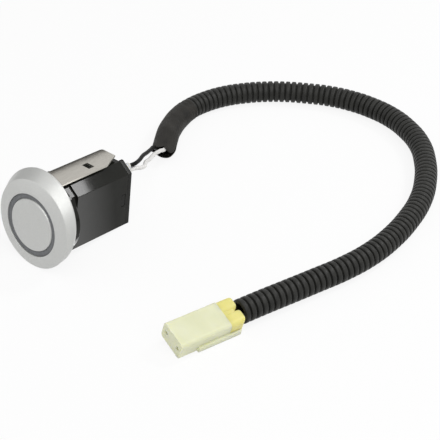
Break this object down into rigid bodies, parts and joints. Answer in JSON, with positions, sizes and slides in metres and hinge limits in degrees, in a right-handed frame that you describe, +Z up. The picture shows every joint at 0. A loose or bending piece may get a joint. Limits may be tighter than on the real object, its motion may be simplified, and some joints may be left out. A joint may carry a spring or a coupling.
{
  "type": "parking sensor",
  "caption": "Ultrasonic parking sensor: a wedge-shaped silver bezel on a black clip-in housing, with a short lead in corrugated conduit that ends in a small cream connector.",
  "frame": {"origin": "bottom centre of the head, without its lead, on the table it lies on", "axes": "+Y along the head from the transducer's face to the rear cover, in plan; +Z up, the clip's side; +X to the right seen from the face. The head lies nose-up by about 6 degrees"},
  "size_m": [0.0957, 0.1353, 0.0276],
  "materials": {
    "bezel_paint": "satin silver paint on moulded plastic",
    "cup_paint": "satin silver paint on aluminium",
    "ring_silicone": "matt grey silicone",
    "piezo_ceramic": "silvered ceramic",
    "foam": "matt closed-cell foam",
    "cap_plastic": "moulded",
    "pin_metal": "gold-coloured plating",
    "housing_plastic": "satin black moulding",
    "cover_plastic": "satin black moulding",
    "spring_steel": "warm grey, rolled",
    "board_laminate": "green solder mask",
    "chip_plastic": "moulded",
    "ferrite": "matt sintered",
    "copper": "enamelled wire",
    "capacitor_case": "moulded",
    "chip_part_ceramic": "ceramic",
    "seal_silicone": "translucent silicone",
    "black_insulation": "satin",
    "white_insulation": "satin",
    "cloth_tape": "matt woven tape",
    "conduit_plastic": "satin black, corrugated",
    "connector_nylon": "cream, slightly translucent",
    "retainer_nylon": "pale yellow",
    "contact_metal": "tin-plated"
  },
  "bodies": {
    "root": {"bezel": "bezel_paint", "decoupling_ring": "ring_silicone", "transducer_cup": "cup_paint", "piezo_disc": "piezo_ceramic", "damping_pad": "foam", "transducer_cap": "cap_plastic", "transducer_pins": "pin_metal", "housing": "housing_plastic", "rear_cover": "cover_plastic", "retaining_clip": "spring_steel", "circuit_board": "board_laminate", "controller_chip": "chip_plastic", "transformer_core": "ferrite", "transformer_winding": "copper", "storage_capacitor": "capacitor_case", "chip_parts": "chip_part_ceramic", "wire_seal": "seal_silicone", "black_wire": "black_insulation", "white_wire": "white_insulation", "tape_wrap": "cloth_tape", "conduit": "conduit_plastic", "connector_housing": "connector_nylon", "connector_retainer": "retainer_nylon", "socket_contacts": "contact_metal"}
  },
  "joints": []
}
